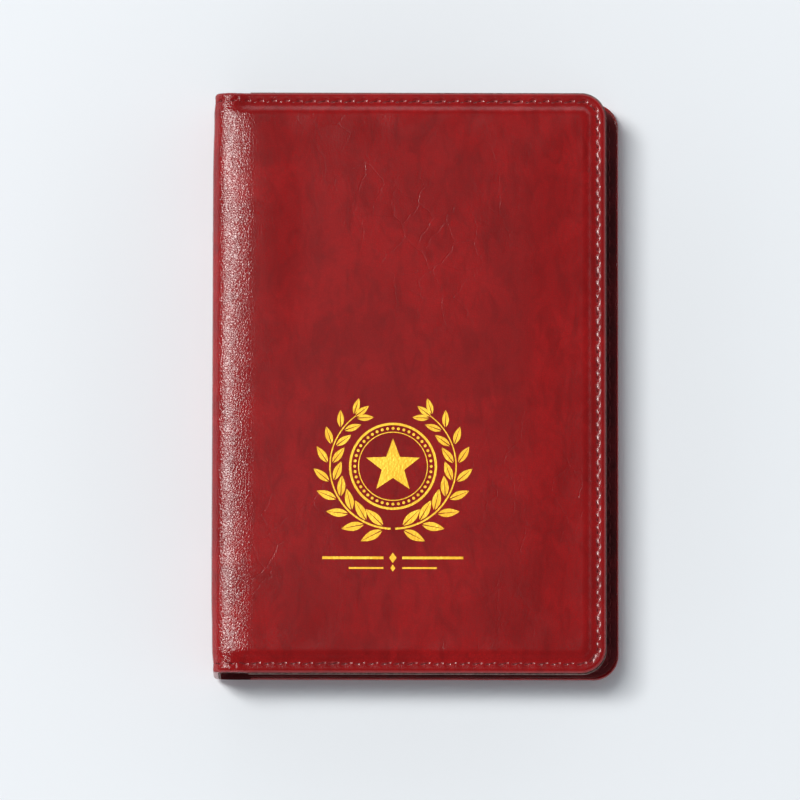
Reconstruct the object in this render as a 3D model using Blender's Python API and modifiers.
"""Coin album: a padded case on a two-ring binder with ten clear leaves of coin pockets.

The closed album lies on its rear cover. +X runs from the spine to the fore-edge, +Y up the
cover and +Z out of the front cover. The origin is at the middle of the album's footprint.
"""
import math

import bmesh
import bpy
from mathutils import Matrix

MM = 0.001

# The closed album
HEIGHT_Y = 200.0 * MM
THICKNESS = 25.0 * MM
COVER_WIDTH = 126.8 * MM
FRONT_EDGE = 134.1 * MM             # fore-edges, measured from the spine's outer face
REAR_EDGE = 138.8 * MM
RIVET_PROUD = 0.7 * MM
SPINE_X = (RIVET_PROUD - REAR_EDGE) / 2
CORNER_RADIUS = 8.6 * MM

# Layers of a cover and of the spine, from the outside in
GAP = 0.25 * MM                     # clearance that keeps neighbouring pieces apart
LEATHER = 0.7 * MM
BOARD = 1.2 * MM
LINING = 0.45 * MM
FRONT_FOAM = 1.1 * MM
REAR_FOAM = 0.4 * MM
WALL = 0.9 * MM                     # leather turned over a board's edge
LINING_INSET = 0.2 * MM             # the lining's cut edge shows all round
MARGIN = 4.6 * MM                   # pressed border outside the padding
HINGE_MARGIN = 1.2 * MM
FRONT_PRESS = 1.3 * MM              # how far the border lies below the padding
REAR_PRESS = 0.6 * MM
STITCH_INSET = 3.0 * MM
THREAD_RADIUS = 0.28 * MM
THREAD_GAP = 0.18 * MM

# Spine
SPINE_LOW = 4.0 * MM
SPINE_HIGH = 20.3 * MM
SPINE_BOARD_INSET = 0.3 * MM
SPINE_LINING_INSET = 0.8 * MM
SPINE_STITCH_END = 1.2 * MM         # from the spine leather's edge to its last stitch
GROOVE_SPARE = 0.2 * MM             # the groove runs on a little past the thread

# Fold axes, where the flat open case lies in one plane
REAR_FOLD = (1.7 * MM, 1.7 * MM)
FRONT_FOLD = (1.2 * MM, 23.8 * MM)

# Ring binder
BINDER_Y = -3.0 * MM                # the binder sits a little below the middle of the spine
RING_SPACING = 80.0 * MM
RING_RADIUS = 6.1 * MM              # to the middle of the wire
WIRE_RADIUS = 1.1 * MM
RING_X = 12.5 * MM
RING_END_GAP = 0.15 * MM            # half of the slit between two closed half rings
FOOT_OFFSET = 4.3 * MM              # wire's foot, from the binder's middle line
RAIL_EDGE = 6.0 * MM                # outer edge of a rail, where it pivots
RAIL_X = 3.95 * MM
RAIL_THICKNESS = 0.6 * MM
RAIL_LENGTH = 90.0 * MM
PLATE_LENGTH = 126.0 * MM
PLATE_HALF_WIDTH = 6.8 * MM
PLATE_X = 3.4 * MM
PLATE_RISE = 2.9 * MM
PLATE_SHEET = 0.5 * MM
TAB_RADIUS = 4.0 * MM
WIRE_SLOT_SIDE = 0.4 * MM           # room beside a wire in its slot
WIRE_SLOT_INNER = 0.5 * MM          # room towards the binder's middle line
WIRE_SLOT_OUTER = 0.65 * MM         # room for the wire to swing outwards
WIRE_SLOT_DEPTH = (4.6 * MM, 9.0 * MM)
ARCH_HALF_LENGTH = 50.5 * MM
ARCH_SLOPE = 4.0 * MM
RIVET_SPACING = 110.0 * MM
RIVET_RADIUS = 1.5 * MM
RIVET_HEAD = 2.8 * MM
RIVET_STANDOFF = 0.1 * MM           # the domed head stands just clear of the leather
RIVET_TAIL = 2.5 * MM
RIVET_TAIL_HEIGHT = 0.6 * MM
RIVET_TAIL_CHAMFER = 0.3 * MM
RIVET_HOLE_DEPTH = 12.0 * MM
RAIL_HALF_GAP = 0.2 * MM            # half of the gap between the two rails

# Leaves
LEAVES = 10
LEAF_HEIGHT = 188.0 * MM
LEAF_START = 0.5 * MM               # inner edge, from the ring's centre
LEAF_END = 130.4 * MM               # fore-edge, from the spine's outer face
STRIP = 0.5 * MM                    # punched binding strip
STRIP_PITCH = 0.85 * MM
PANEL = 1.3 * MM                    # pocket panel
PANEL_PITCH = 1.6 * MM
RAMP = (10.0 * MM, 17.5 * MM)       # from the ring's centre
SLOT = (1.9 * MM, 9.1 * MM)
SLOT_WIDTH = 5.0 * MM
COLUMNS = 3
ROWS = 4
POCKET_WALL = 0.3 * MM
WELD = 1.6 * MM                     # weld seam between two pockets
SLIT = (24.0 * MM, 1.4 * MM)
SLIT_START = 0.1 * MM               # a slit is cut outwards from just above the middle plane

ARC_STEPS = 7

FINISHES = {
    "leather": ((0.28, 0.012, 0.016, 1.0), 0.45, 0.0),
    "thread": ((0.2, 0.01, 0.014, 1.0), 0.6, 0.0),
    "lining": ((0.1, 0.012, 0.014, 1.0), 0.7, 0.0),
    "board": ((0.36, 0.29, 0.2, 1.0), 0.9, 0.0),
    "foam": ((0.75, 0.73, 0.68, 1.0), 0.95, 0.0),
    "steel": ((0.72, 0.72, 0.74, 1.0), 0.15, 1.0),
    "clear_pvc": ((0.85, 0.9, 0.93, 0.35), 0.12, 0.0),
}


# ---------------------------------------------------------------- scene helpers

def clear_scene():
    """Remove every object that the file already holds."""
    for item in list(bpy.data.objects):
        bpy.data.objects.remove(item, do_unlink=True)


def new_collection(name):
    """Make a collection under the scene's own."""
    collection = bpy.data.collections.new(name)
    bpy.context.scene.collection.children.link(collection)
    return collection


def finish(name, slot):
    """Give one piece its own material."""
    colour, roughness, metallic = FINISHES[slot]
    made = bpy.data.materials.new(name + "_finish")
    made.use_nodes = True
    shader = made.node_tree.nodes["Principled BSDF"]
    shader.inputs["Base Color"].default_value = colour
    shader.inputs["Roughness"].default_value = roughness
    shader.inputs["Metallic"].default_value = metallic
    shader.inputs["Alpha"].default_value = colour[3]
    return made


def add_piece(name, mesh, slot):
    """Put a mesh in the album as a named piece."""
    mesh.name = name
    mesh.materials.clear()
    mesh.materials.append(finish(name, slot))
    piece = bpy.data.objects.new(name, mesh)
    ALBUM.objects.link(piece)
    return piece


def add_cutter(name, mesh):
    """Put a mesh among the cutters, out of the render."""
    cutter = bpy.data.objects.new(name, mesh)
    CUTTERS.objects.link(cutter)
    cutter.hide_render = True
    cutter.display_type = "WIRE"
    return cutter


def combine(piece, other, operation):
    """Cut a piece with another shape, or join or intersect the two."""
    modifier = piece.modifiers.new(operation.lower(), "BOOLEAN")
    modifier.operation = operation
    modifier.solver = "EXACT"
    modifier.object = other


def round_edges(piece, width, segments=2):
    """Round the sharp edges of a piece."""
    modifier = piece.modifiers.new("edges", "BEVEL")
    modifier.width = width
    modifier.segments = segments
    modifier.limit_method = "ANGLE"
    modifier.angle_limit = math.radians(40)


def shade_round(piece):
    """Shade a round piece smooth, keeping its sharp edges."""
    piece.data.shade_smooth()
    piece.data.set_sharp_from_angle(angle=math.radians(40))


# ---------------------------------------------------------------- mesh helpers

def curve_mesh(curve, matrix):
    """Turn a curve into a closed mesh that lies where the matrix puts it."""
    guide = bpy.data.objects.new("guide", curve)
    bpy.context.scene.collection.objects.link(guide)
    bpy.context.view_layer.update()
    evaluated = guide.evaluated_get(bpy.context.evaluated_depsgraph_get())
    mesh = bpy.data.meshes.new_from_object(evaluated)
    bpy.data.objects.remove(guide, do_unlink=True)
    work = bmesh.new()
    work.from_mesh(mesh)
    bmesh.ops.remove_doubles(work, verts=work.verts, dist=0.001 * MM)
    bmesh.ops.transform(work, matrix=matrix, verts=work.verts)
    bmesh.ops.recalc_face_normals(work, faces=work.faces)
    work.to_mesh(mesh)
    work.free()
    return mesh


def poly_spline(curve, points, cyclic):
    """Add straight runs through the points to a curve."""
    spline = curve.splines.new("POLY")
    spline.points.add(len(points) - 1)
    for corner, place in zip(spline.points, points):
        corner.co = (*place, 1.0)
    spline.use_cyclic_u = cyclic


def slab(points, low, high, facing="Z"):
    """Fill a closed outline and give it depth from low to high along the facing axis.

    The outline's own axes are X and Y when it faces Z, X and Z when it faces Y, and Y and Z
    when it faces X.
    """
    curve = bpy.data.curves.new("outline", "CURVE")
    curve.dimensions = "2D"
    curve.fill_mode = "BOTH"
    curve.extrude = (high - low) / 2
    poly_spline(curve, [(u, v, 0.0) for u, v in points], True)
    middle = (low + high) / 2
    upright = Matrix.Rotation(math.radians(90), 4, "X")
    turned = Matrix.Rotation(math.radians(90), 4, "Z")
    matrices = {
        "Z": Matrix.Translation((0, 0, middle)),
        "Y": Matrix.Translation((0, middle, 0)) @ upright,
        "X": Matrix.Translation((middle, 0, 0)) @ turned @ upright,
    }
    return curve_mesh(curve, matrices[facing])


def wire(points, radius, resolution=2):
    """Make a round wire with closed ends through the points."""
    curve = bpy.data.curves.new("wire", "CURVE")
    curve.dimensions = "3D"
    curve.bevel_depth = radius
    curve.bevel_resolution = resolution
    curve.use_fill_caps = True
    poly_spline(curve, points, False)
    return curve_mesh(curve, Matrix.Identity(4))


def box_mesh(boxes):
    """Make one mesh of separate boxes, each given by its low and high corner."""
    work = bmesh.new()
    for low, high in boxes:
        size = [b - a for a, b in zip(low, high)]
        centre = [(a + b) / 2 for a, b in zip(low, high)]
        place = Matrix.Translation(centre) @ Matrix.Diagonal((*size, 1.0))
        bmesh.ops.create_cube(work, size=1.0, matrix=place)
    mesh = bpy.data.meshes.new("boxes")
    work.to_mesh(mesh)
    work.free()
    return mesh


def arc(centre, radii, start, end, steps=ARC_STEPS):
    """List points along an arc or part of an ellipse, with angles in degrees."""
    angles = [math.radians(start + (end - start) * i / steps) for i in range(steps + 1)]
    return [(centre[0] + radii[0] * math.cos(a), centre[1] + radii[1] * math.sin(a))
            for a in angles]


def cover_outline(hinge, edge, inset, hinge_inset):
    """List a cover's outline, square at the hinge and round at the fore-edge."""
    left = SPINE_X + hinge + hinge_inset
    right = SPINE_X + edge - inset
    top = HEIGHT_Y / 2 - inset
    radius = max(CORNER_RADIUS - inset, 0.5 * MM)
    lower = arc((right - radius, radius - top), (radius, radius), -90, 0)
    upper = arc((right - radius, top - radius), (radius, radius), 0, 90)
    return [(left, -top)] + lower + upper + [(left, top)]


def rounded_bar(length, width, radius):
    """List a rectangle with round corners, centred on the origin."""
    a = length / 2 - radius
    b = width / 2 - radius
    corners = [(a, b, 0), (-a, b, 90), (-a, -b, 180), (a, -b, 270)]
    points = []
    for u, v, turn in corners:
        points += arc((u, v), (radius, radius), turn, turn + 90, 4)
    return points


# ---------------------------------------------------------------- covers

class Cover:
    """A cover's place and layers; depth is measured inwards from its padded face."""

    def __init__(self, name, edge, face, inward, foam, press):
        self.name = name
        self.hinge = edge - COVER_WIDTH
        self.edge = edge
        self.face = face
        self.inward = inward
        self.press = press
        self.foam = (LEATHER + GAP, LEATHER + GAP + foam)
        self.board = (self.foam[1] + GAP, self.foam[1] + GAP + BOARD)
        self.lining = (self.board[1] + GAP, self.board[1] + GAP + LINING)

    def layer(self, depths, inset, hinge_inset):
        """Make a flat layer between two depths, inset from the cover's outline."""
        heights = sorted(self.face + self.inward * depth for depth in depths)
        outline = cover_outline(self.hinge, self.edge, inset, hinge_inset)
        return slab(outline, *heights)

    def stitch_line(self):
        """List the row of stitches, up one side, round the fore-edge and back."""
        z = self.face + self.inward * self.press
        outline = cover_outline(self.hinge, self.edge, STITCH_INSET, HINGE_MARGIN)
        return [(x, y, z) for x, y in outline]


def make_cover_leather(cover):
    """Make the leather: a padded face, a pressed border and an edge round the board."""
    name = cover.name + "_leather"
    border = (cover.press, cover.board[1])
    leather = add_piece(name, cover.layer(border, 0.0, 0.0), "leather")
    round_edges(leather, 0.35 * MM)
    pad = add_cutter(name + "_pad", cover.layer((0.0, cover.foam[1]), MARGIN, HINGE_MARGIN))
    round_edges(pad, 0.3 * MM)
    combine(leather, pad, "UNION")
    under_foam = (LEATHER, cover.foam[1] + GAP)
    hollow = cover.layer(under_foam, MARGIN + WALL, HINGE_MARGIN + WALL)
    combine(leather, add_cutter(name + "_foam_hollow", hollow), "DIFFERENCE")
    tray = (cover.foam[1], cover.lining[1] + MM)
    hollow = cover.layer(tray, WALL, WALL)
    combine(leather, add_cutter(name + "_board_hollow", hollow), "DIFFERENCE")
    groove = wire(cover.stitch_line(), THREAD_RADIUS + THREAD_GAP)
    combine(leather, add_cutter(name + "_groove", groove), "DIFFERENCE")
    return leather


def make_cover(cover):
    """Make the five layers of one cover."""
    inside = WALL + GAP
    foam_inset = MARGIN + WALL + GAP
    foam = cover.layer(cover.foam, foam_inset, HINGE_MARGIN + WALL + GAP)
    thread_ends = cover.stitch_line()
    return [
        make_cover_leather(cover),
        add_piece(cover.name + "_foam", foam, "foam"),
        add_piece(cover.name + "_board", cover.layer(cover.board, inside, inside), "board"),
        add_piece(cover.name + "_lining", cover.layer(cover.lining, LINING_INSET, 0.0), "lining"),
        add_piece(cover.name + "_stitching", wire(thread_ends, THREAD_RADIUS, 1), "thread"),
    ]


# ---------------------------------------------------------------- spine and hinges

def rivet_places():
    """List the heights along the spine where the two rivets go through."""
    return [BINDER_Y + side * RIVET_SPACING / 2 for side in (-1, 1)]


def rivet_holes(name):
    """Make the cutter for the two rivet holes through the spine's layers."""
    work = bmesh.new()
    for y in rivet_places():
        place = Matrix.Translation((SPINE_X, y, RING_Z))
        along_x = Matrix.Rotation(math.radians(90), 4, "Y")
        bmesh.ops.create_cone(work, cap_ends=True, segments=16, depth=RIVET_HOLE_DEPTH,
                              radius1=RIVET_RADIUS + GAP, radius2=RIVET_RADIUS + GAP,
                              matrix=place @ along_x)
    mesh = bpy.data.meshes.new(name)
    work.to_mesh(mesh)
    work.free()
    return add_cutter(name, mesh)


def spine_layer(name, slot, depths, inset, holes):
    """Make one upright layer of the spine, pierced for the rivets."""
    low = (SPINE_X + depths[0], inset - HEIGHT_Y / 2, SPINE_LOW + inset)
    high = (SPINE_X + depths[1], HEIGHT_Y / 2 - inset, SPINE_HIGH - inset)
    piece = add_piece(name, box_mesh([(low, high)]), slot)
    combine(piece, holes, "DIFFERENCE")
    return piece


def spine_stitch_line(side):
    """List the run of stitches across one end of the spine."""
    y = side * (HEIGHT_Y / 2 - STITCH_INSET)
    ends = (SPINE_LOW + SPINE_STITCH_END, SPINE_HIGH - SPINE_STITCH_END)
    return [(SPINE_X, y, z) for z in ends]


def make_spine():
    """Make the spine's leather, board, lining and the stitches at its two ends."""
    holes = rivet_holes("rivet_holes")
    board = (LEATHER + GAP, LEATHER + GAP + BOARD)
    lining = (board[1] + GAP, board[1] + GAP + LINING)
    leather = spine_layer("spine_leather", "leather", (0.0, LEATHER), 0.0, holes)
    pieces = [
        leather,
        spine_layer("spine_board", "board", board, SPINE_BOARD_INSET, holes),
        spine_layer("spine_lining", "lining", lining, SPINE_LINING_INSET, holes),
    ]
    for side, end in ((1, "head"), (-1, "tail")):
        line = spine_stitch_line(side)
        spare = (-GROOVE_SPARE, GROOVE_SPARE)
        groove = wire([(x, y, z + more) for (x, y, z), more in zip(line, spare)],
                      THREAD_RADIUS + THREAD_GAP)
        combine(leather, add_cutter("spine_groove_" + end, groove), "DIFFERENCE")
        name = "spine_stitching_" + end
        pieces.append(add_piece(name, wire(line, THREAD_RADIUS, 1), "thread"))
    return pieces


def hinge_strip(name, centre, radii, angles):
    """Make the leather that bends between the spine and a cover."""
    outer = arc(centre, radii, *angles)
    inner = arc(centre, [radius - LEATHER for radius in radii], *angles)
    half = HEIGHT_Y / 2
    return add_piece(name, slab(outer + inner[::-1], -half, half, "Y"), "leather")


def make_hinges(front, rear):
    """Make the two strips of leather at the folds."""
    front_span = front.hinge - GAP
    rear_span = rear.hinge - GAP
    front_low = SPINE_HIGH + GAP
    front_centre = (SPINE_X + front_span, front_low)
    rear_centre = (SPINE_X + rear_span, SPINE_LOW - GAP)
    front_radii = (front_span, THICKNESS - FRONT_PRESS - front_low)
    rear_radii = (rear_span, SPINE_LOW - GAP - REAR_PRESS)
    return [
        hinge_strip("front_hinge_leather", front_centre, front_radii, (180, 90)),
        hinge_strip("rear_hinge_leather", rear_centre, rear_radii, (180, 270)),
    ]


# ---------------------------------------------------------------- ring binder

def plate_height(across, along):
    """Give the cover plate's rise: an arch that slopes down to a flat tab at each end."""
    arch = math.sqrt(max(0.0, 1.0 - abs(across) ** 4))
    slope = (ARCH_HALF_LENGTH - abs(along)) / ARCH_SLOPE
    slope = min(1.0, max(0.0, slope))
    return PLATE_RISE * arch * slope * slope * (3 - 2 * slope)


def plate_stations():
    """List the cross-sections along half of the plate, as distance and half width."""
    tab = arc((PLATE_LENGTH / 2 - TAB_RADIUS, PLATE_HALF_WIDTH - TAB_RADIUS),
              (TAB_RADIUS, TAB_RADIUS), 0, 90, 4)
    slope = [(ARCH_HALF_LENGTH - ARCH_SLOPE * i / 4, PLATE_HALF_WIDTH) for i in range(5)]
    return tab + slope


def make_plate():
    """Make the binder's arched cover plate with slots for the wires and the rivets."""
    half = plate_stations()
    stations = [(-y, width) for y, width in half] + half[::-1]
    columns = 12
    rows = len(stations) - 1
    bpy.ops.mesh.primitive_grid_add(x_subdivisions=columns, y_subdivisions=rows)
    grid = bpy.context.object
    for vertex in grid.data.vertices:
        across = math.sin(math.pi / 2 * vertex.co.x)
        y, half_width = stations[round((vertex.co.y + 1) / 2 * rows)]
        x = SPINE_X + PLATE_X + plate_height(across, y)
        vertex.co = (x, BINDER_Y + y, RING_Z - across * half_width)
    plate = add_piece("ring_plate", grid.data.copy(), "steel")
    bpy.data.objects.remove(grid, do_unlink=True)
    sheet = plate.modifiers.new("sheet", "SOLIDIFY")
    sheet.thickness = PLATE_SHEET
    sheet.offset = 1.0
    combine(plate, add_cutter("wire_slots", box_mesh(wire_slot_boxes())), "DIFFERENCE")
    combine(plate, rivet_holes("plate_rivet_holes"), "DIFFERENCE")
    shade_round(plate)
    return plate


def wire_slot_boxes():
    """List the slots that let the four wires through the plate as the rings open."""
    half_width = WIRE_RADIUS + WIRE_SLOT_SIDE
    inner = FOOT_OFFSET - WIRE_RADIUS - WIRE_SLOT_INNER
    outer = FOOT_OFFSET + WIRE_RADIUS + WIRE_SLOT_OUTER
    boxes = []
    for y in ring_places():
        for side in (-1, 1):
            z = sorted((RING_Z + side * inner, RING_Z + side * outer))
            boxes.append(((SPINE_X + WIRE_SLOT_DEPTH[0], y - half_width, z[0]),
                          (SPINE_X + WIRE_SLOT_DEPTH[1], y + half_width, z[1])))
    return boxes


def ring_places():
    """List the heights along the spine of the two rings."""
    return [BINDER_Y + side * RING_SPACING / 2 for side in (-1, 1)]


def half_ring_line(y, side):
    """List the middle line of a half ring: most of a half circle, then a bend to its foot."""
    tip = math.degrees(math.asin(RING_END_GAP / RING_RADIUS))
    shoulder = 115.0
    line = arc((0, 0), (RING_RADIUS, RING_RADIUS), tip, shoulder, 10)
    start = line[-1]
    angle = math.radians(shoulder)
    run = (start[1] - FOOT_OFFSET) / -math.cos(angle)
    bend = (start[0] - run * math.sin(angle), FOOT_OFFSET)
    foot = (RAIL_X + RAIL_THICKNESS + GAP - RING_X, FOOT_OFFSET)
    for i in range(1, 6):
        t = i / 5
        weights = ((1 - t) ** 2, 2 * t * (1 - t), t * t)
        line.append(tuple(sum(w * p[k] for w, p in zip(weights, (start, bend, foot)))
                          for k in (0, 1)))
    return [(SPINE_X + RING_X + u, y, RING_Z + side * v) for u, v in line]


def make_rail(name, side):
    """Make one of the two rails that carry the half rings under the plate."""
    z = sorted((RING_Z + side * RAIL_HALF_GAP, RING_Z + side * RAIL_EDGE))
    low = (SPINE_X + RAIL_X, BINDER_Y - RAIL_LENGTH / 2, z[0])
    high = (SPINE_X + RAIL_X + RAIL_THICKNESS, BINDER_Y + RAIL_LENGTH / 2, z[1])
    rail = add_piece(name + "_ring_rail", box_mesh([(low, high)]), "steel")
    return rail


def make_ring_half(name, side):
    """Make a rail and the two half rings that stand on it."""
    pieces = [make_rail(name, side)]
    for y, end in zip(ring_places(), ("tail", "head")):
        half_ring = wire(half_ring_line(y, side), WIRE_RADIUS, 2)
        pieces.append(add_piece(name + "_half_ring_" + end, half_ring, "steel"))
        shade_round(pieces[-1])
    return pieces


def make_rivet(name, y):
    """Turn a rivet: a domed head outside the spine and a flat head on the plate's tab."""
    dome = RIVET_PROUD - RIVET_STANDOFF
    tail = PLATE_X + PLATE_SHEET + GAP
    profile = [(0.0, RIVET_PROUD)]
    for angle in (70, 50, 30, 0):
        turned = math.radians(angle)
        profile.append((RIVET_HEAD * math.cos(turned), RIVET_STANDOFF + dome * math.sin(turned)))
    profile += [(RIVET_RADIUS, RIVET_STANDOFF), (RIVET_RADIUS, -tail), (RIVET_TAIL, -tail),
                (RIVET_TAIL - RIVET_TAIL_CHAMFER, -tail - RIVET_TAIL_HEIGHT),
                (0.0, -tail - RIVET_TAIL_HEIGHT)]
    mesh = bpy.data.meshes.new(name)
    edges = [(i, i + 1) for i in range(len(profile) - 1)]
    mesh.from_pydata([(r, 0.0, h) for r, h in profile], edges, [])
    rivet = add_piece(name, mesh, "steel")
    turn = rivet.modifiers.new("turn", "SCREW")
    turn.steps = 20
    turn.render_steps = 20
    turn.use_merge_vertices = True
    turn.merge_threshold = 0.00001
    rivet.location = (SPINE_X, y, RING_Z)
    rivet.rotation_euler = (0.0, math.radians(-90), 0.0)
    return rivet


# ---------------------------------------------------------------- leaves

def leaf_profile(rank):
    """List a leaf's section: a thin strip at the rings, a ramp and the thick pocket panel."""
    strip_z = RING_Z + rank * STRIP_PITCH
    panel_z = RING_Z + rank * PANEL_PITCH
    stations = [
        (SPINE_X + RING_X + LEAF_START, strip_z, STRIP / 2),
        (SPINE_X + RING_X + RAMP[0], strip_z, STRIP / 2),
        (SPINE_X + RING_X + RAMP[1], panel_z, PANEL / 2),
        (SPINE_X + LEAF_END, panel_z, PANEL / 2),
    ]
    upper = [(x, z + half) for x, z, half in stations]
    lower = [(x, z - half) for x, z, half in stations]
    return lower + upper[::-1]


def pocket_boxes():
    """List the pockets' hollows and the slits that a coin goes in through."""
    first = SPINE_X + RING_X + RAMP[1]
    width = (SPINE_X + LEAF_END - first) / COLUMNS
    height = LEAF_HEIGHT / ROWS
    depth = PANEL / 2 - POCKET_WALL
    hollows = []
    slits = []
    for column in range(COLUMNS):
        for row in range(ROWS):
            x = first + width * (column + 0.5)
            y = BINDER_Y - LEAF_HEIGHT / 2 + height * (row + 0.5)
            half_x = (width - WELD) / 2
            half_y = (height - WELD) / 2
            hollows.append(((x - half_x, y - half_y, -depth), (x + half_x, y + half_y, depth)))
            top = y + half_y - SLIT[1]
            slits.append(((x - SLIT[0] / 2, top - SLIT[1], SLIT_START),
                          (x + SLIT[0] / 2, top, PANEL)))
    return hollows, slits


def slot_mesh():
    """Make the cutter for the two slots that ride on the rings."""
    length = SLOT[1] - SLOT[0]
    work = bmesh.new()
    for y in ring_places():
        outline = rounded_bar(length, SLOT_WIDTH, 0.45 * SLOT_WIDTH)
        centre = SPINE_X + RING_X + (SLOT[0] + SLOT[1]) / 2
        outline = [(centre + u, y + v) for u, v in outline]
        work.from_mesh(slab(outline, 0.0, THICKNESS))
    mesh = bpy.data.meshes.new("leaf_slots")
    work.to_mesh(mesh)
    work.free()
    return mesh


def make_leaves():
    """Make the leaves, counted from the front cover to the rear one."""
    hollows, slits = pocket_boxes()
    hollow_mesh = box_mesh(hollows)
    slit_mesh = box_mesh(slits)
    slots = add_cutter("leaf_slots", slot_mesh())
    leaves = []
    for number in range(1, LEAVES + 1):
        rank = (LEAVES + 1) / 2 - number
        name = f"leaf_{number:02d}"
        low = BINDER_Y - LEAF_HEIGHT / 2
        mesh = slab(leaf_profile(rank), low, low + LEAF_HEIGHT, "Y")
        leaf = add_piece(name, mesh, "clear_pvc")
        combine(leaf, slots, "DIFFERENCE")
        for kind, cutter_mesh in (("hollows", hollow_mesh), ("slits", slit_mesh)):
            cutter = add_cutter(f"{name}_{kind}", cutter_mesh)
            cutter.location.z = RING_Z + rank * PANEL_PITCH
            combine(leaf, cutter, "DIFFERENCE")
        leaves.append(leaf)
    return leaves


# ---------------------------------------------------------------- assembly

def hang(name, place, pieces, parent=None):
    """Parent pieces to an empty on their joint's axis, without moving them."""
    axis = bpy.data.objects.new(name, None)
    axis.empty_display_size = 5 * MM
    ALBUM.objects.link(axis)
    if parent:
        axis.parent = parent
        axis.location = [a - b for a, b in zip(place, parent["place"])]
    else:
        axis.location = place
    axis["place"] = place
    for piece in pieces:
        piece.parent = axis
        piece.matrix_parent_inverse = Matrix.Translation([-value for value in place])
    return axis


def main():
    """Build the album and hang its moving pieces on their axes."""
    front = Cover("front_cover", FRONT_EDGE, THICKNESS, -1, FRONT_FOAM, FRONT_PRESS)
    rear = Cover("rear_cover", REAR_EDGE, 0.0, 1, REAR_FOAM, REAR_PRESS)
    make_cover(rear)
    spine = make_spine() + [make_plate()]
    for end, y in zip(("tail", "head"), rivet_places()):
        spine.append(make_rivet("rivet_" + end, y))
    spine += make_hinges(front, rear)
    rear_fold = (SPINE_X + REAR_FOLD[0], 0.0, REAR_FOLD[1])
    front_fold = (SPINE_X + FRONT_FOLD[0], 0.0, FRONT_FOLD[1])
    spine_axis = hang("spine_fold_axis", rear_fold, spine)
    hang("front_cover_fold_axis", front_fold, make_cover(front), spine_axis)
    for name, side in (("front", 1), ("rear", -1)):
        pivot = (SPINE_X + RAIL_X + RAIL_THICKNESS / 2, BINDER_Y, RING_Z + side * RAIL_EDGE)
        hang(name + "_rail_axis", pivot, make_ring_half(name, side), spine_axis)
    ring_centre = (SPINE_X + RING_X, BINDER_Y, RING_Z)
    hang("leaf_axis", ring_centre, make_leaves(), spine_axis)


def cover_depth(foam):
    """Give a cover's whole thickness."""
    return LEATHER + foam + BOARD + LINING + 3 * GAP


# Middle height between the two linings, where the rings and the leaves sit
RING_Z = (cover_depth(REAR_FOAM) + THICKNESS - cover_depth(FRONT_FOAM)) / 2

clear_scene()
ALBUM = new_collection("coin_album")
CUTTERS = new_collection("cutters")
main()
